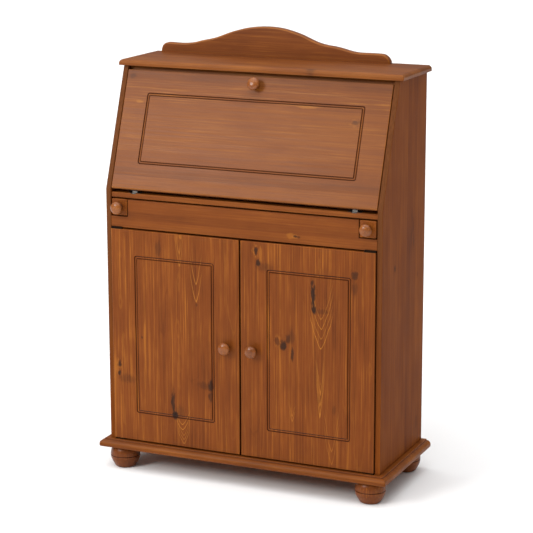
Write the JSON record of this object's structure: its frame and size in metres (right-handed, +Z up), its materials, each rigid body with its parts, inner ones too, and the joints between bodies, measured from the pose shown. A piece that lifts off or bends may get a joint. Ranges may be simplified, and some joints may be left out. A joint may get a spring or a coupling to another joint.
{
  "type": "secretary desk",
  "caption": "Shallow upright writing desk: sloping drop front on pull-out supports over a cupboard with hinged doors, scrolled crest, moulded base and turned bun feet.",
  "frame": {"origin": "middle of the desk's bounding box in plan, at floor level under the feet", "axes": "+Z up; -Y is the front, with the doors and the drop front; +X is the right-hand side seen from the front"},
  "size_m": [0.838, 0.3644, 1.1955],
  "materials": {
    "pine_fall": "satin stained knotty pine, grain across the width",
    "pine_rail": "satin stained knotty pine, grain across the width",
    "pine_door": "satin stained knotty pine, upright grain",
    "pine_side": "satin stained knotty pine, upright grain",
    "pine_top": "satin stained pine, grain across the width",
    "pine_base": "satin stained pine moulding",
    "turned_pine_knob": "turned and lacquered pine",
    "turned_pine_foot": "turned and lacquered pine",
    "pine_inner": "sanded pine, light finish",
    "backing_board": "thin backing board",
    "bright_steel": "plated steel",
    "dark_bronze": "dark bronzed metal",
    "catch_plastic": "brown moulded plastic"
  },
  "bodies": {
    "carcass": {"side_panel_left": "pine_side", "side_panel_right": "pine_side", "base_board": "pine_base", "top_board": "pine_top", "crest_board": "pine_top", "writing_board": "pine_rail", "front_rail": "pine_rail", "foot_front_left": "turned_pine_foot", "foot_front_right": "turned_pine_foot", "foot_rear_left": "turned_pine_foot", "foot_rear_right": "turned_pine_foot", "cabinet_shelf": "pine_inner", "pigeonhole_shelf": "pine_inner", "pigeonhole_divider_left": "pine_inner", "pigeonhole_divider_right": "pine_inner", "fall_stop_batten": "pine_inner", "loper_guide_left": "pine_inner", "loper_guide_right": "pine_inner", "back_panel": "backing_board", "shelf_pin_front_left": "bright_steel", "shelf_pin_rear_left": "bright_steel", "board_hinge_leaf_left": "bright_steel", "fall_hinge_pin_left": "bright_steel", "door_pivot_base_left": "dark_bronze", "door_pivot_rail_left": "dark_bronze", "magnetic_catch_left": "catch_plastic", "shelf_pin_front_right": "bright_steel", "shelf_pin_rear_right": "bright_steel", "board_hinge_leaf_right": "bright_steel", "fall_hinge_pin_right": "bright_steel", "door_pivot_base_right": "dark_bronze", "door_pivot_rail_right": "dark_bronze", "magnetic_catch_right": "catch_plastic"},
    "drop_front": {"fall_front": "pine_fall", "fall_knob": "turned_pine_knob", "fall_knob_screw": "bright_steel", "fall_hinge_leaf_left": "bright_steel", "fall_hinge_leaf_right": "bright_steel"},
    "left_door": {"door_left": "pine_door", "door_knob_left": "turned_pine_knob", "door_knob_screw_left": "bright_steel", "door_leaf_lower_left": "dark_bronze", "door_leaf_upper_left": "dark_bronze", "catch_plate_left": "bright_steel"},
    "right_door": {"door_right": "pine_door", "door_knob_right": "turned_pine_knob", "door_knob_screw_right": "bright_steel", "door_leaf_lower_right": "dark_bronze", "door_leaf_upper_right": "dark_bronze", "catch_plate_right": "bright_steel"},
    "left_loper": {"loper_left": "pine_rail", "loper_knob_left": "turned_pine_knob", "loper_stop_peg_left": "pine_inner"},
    "right_loper": {"loper_right": "pine_rail", "loper_knob_right": "turned_pine_knob", "loper_stop_peg_right": "pine_inner"}
  },
  "joints": [
    {"name": "fall_hinge", "type": "hinge", "parent": "carcass", "child": "drop_front", "pos_m": [0, -0.13749, 0.7681], "axis": [1, 0, 0], "range_deg": [0, 109.8]},
    {"name": "left_door_hinge", "type": "hinge", "parent": "carcass", "child": "left_door", "pos_m": [-0.374, -0.14935, 0.379], "axis": [0, 0, -1], "range_deg": [0, 110]},
    {"name": "right_door_hinge", "type": "hinge", "parent": "carcass", "child": "right_door", "pos_m": [0.374, -0.14935, 0.379], "axis": [0, 0, 1], "range_deg": [0, 110]},
    {"name": "left_loper_slide", "type": "slide", "parent": "carcass", "child": "left_loper", "axis": [0, -1, 0], "range_m": [0, 0.215]},
    {"name": "right_loper_slide", "type": "slide", "parent": "carcass", "child": "right_loper", "axis": [0, -1, 0], "range_m": [0, 0.215]}
  ]
}
